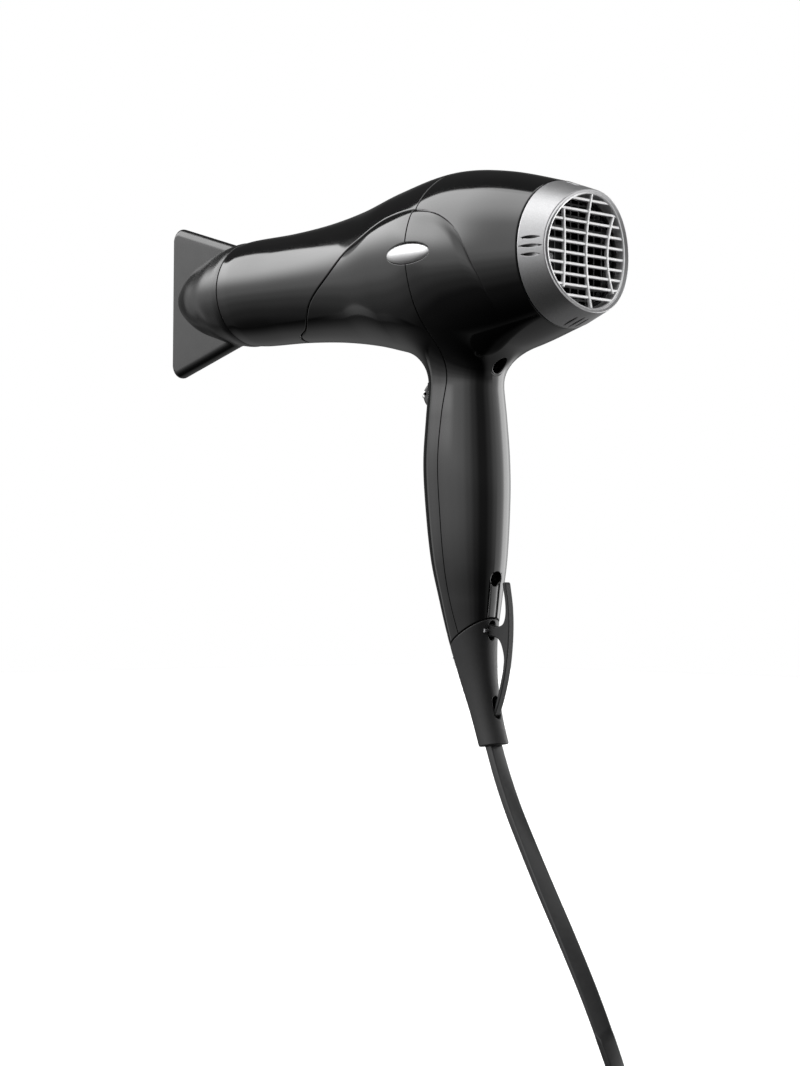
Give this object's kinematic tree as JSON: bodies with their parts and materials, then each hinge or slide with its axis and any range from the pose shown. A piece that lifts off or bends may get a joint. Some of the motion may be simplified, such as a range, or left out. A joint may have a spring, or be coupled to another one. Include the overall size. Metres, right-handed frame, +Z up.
{
  "type": "hair dryer",
  "caption": "Hand-held hair dryer with a concentrator nozzle, a silver rear cap and grille, a cool shot button, a hanging hook and a flat cord.",
  "frame": {"origin": "grip point in the middle of the handle, 105 mm below the barrel's axis", "axes": "+X along the barrel from the nozzle to the intake, +Z up through the barrel's axis, -Y the side with the cool shot button"},
  "size_m": [0.3078, 0.116, 0.4748],
  "materials": {
    "black_gloss": "gloss",
    "nozzle_grey": "satin",
    "silver_paint": "satin",
    "grille_silver": "satin",
    "button_silver": "satin",
    "matt_black": "matt",
    "cord_rubber": "matt",
    "inner_black": "matt",
    "steel": "brushed",
    "brass_pins": "polished",
    "board_green": "satin",
    "wire_red": "satin",
    "mica": "matt",
    "ceramic": "matt"
  },
  "bodies": {
    "dryer": {"barrel_shell": "black_gloss", "front_housing": "black_gloss", "rear_housing": "black_gloss", "cool_spring": "steel", "cool_switch": "inner_black", "power_switch": "inner_black", "circuit_board": "board_green", "wiring": "wire_red", "housing_screws": "steel", "motor": "steel", "motor_mount": "inner_black", "heater_tube": "mica", "heater_cross": "mica", "heater_coil": "steel", "thermostat": "steel", "thermal_fuse": "ceramic", "outlet_grille": "inner_black", "cord_sleeve": "matt_black", "hanging_hook": "matt_black", "hook_pin": "steel", "cord_clamp": "ceramic", "clamp_screws": "steel", "cord_lead": "cord_rubber", "cord_coil": "cord_rubber", "cord_tie": "matt_black", "cord_tail": "cord_rubber", "plug_body": "cord_rubber", "plug_pins": "brass_pins"},
    "nozzle": {"nozzle": "nozzle_grey"},
    "cap": {"rear_cap": "silver_paint", "intake_grille": "grille_silver", "filter_mesh": "inner_black"},
    "rotor": {"motor_shaft": "steel", "fan": "inner_black"},
    "button": {"cool_button": "button_silver"},
    "knob": {"switch_knob": "black_gloss"}
  },
  "joints": [
    {"name": "nozzle_swivel", "type": "hinge", "parent": "dryer", "child": "nozzle", "pos_m": [-0.157, 0, 0.105], "axis": [1, 0, 0], "continuous": true},
    {"name": "cap_twist", "type": "hinge", "parent": "dryer", "child": "cap", "pos_m": [0.068, 0, 0.105], "axis": [1, 0, 0], "range_deg": [0, 20]},
    {"name": "fan_spin", "type": "hinge", "parent": "dryer", "child": "rotor", "pos_m": [0.047, 0, 0.105], "axis": [1, 0, 0], "continuous": true},
    {"name": "cool_press", "type": "slide", "parent": "dryer", "child": "button", "axis": [0, 1, 0], "range_m": [0, 0.0018], "stiffness_N_per_m": 600, "springref_m": -0.001, "deforming": ["cool_spring"]},
    {"name": "switch_slide", "type": "slide", "parent": "dryer", "child": "knob", "axis": [0, 0, -1], "range_m": [0, 0.009]}
  ]
}
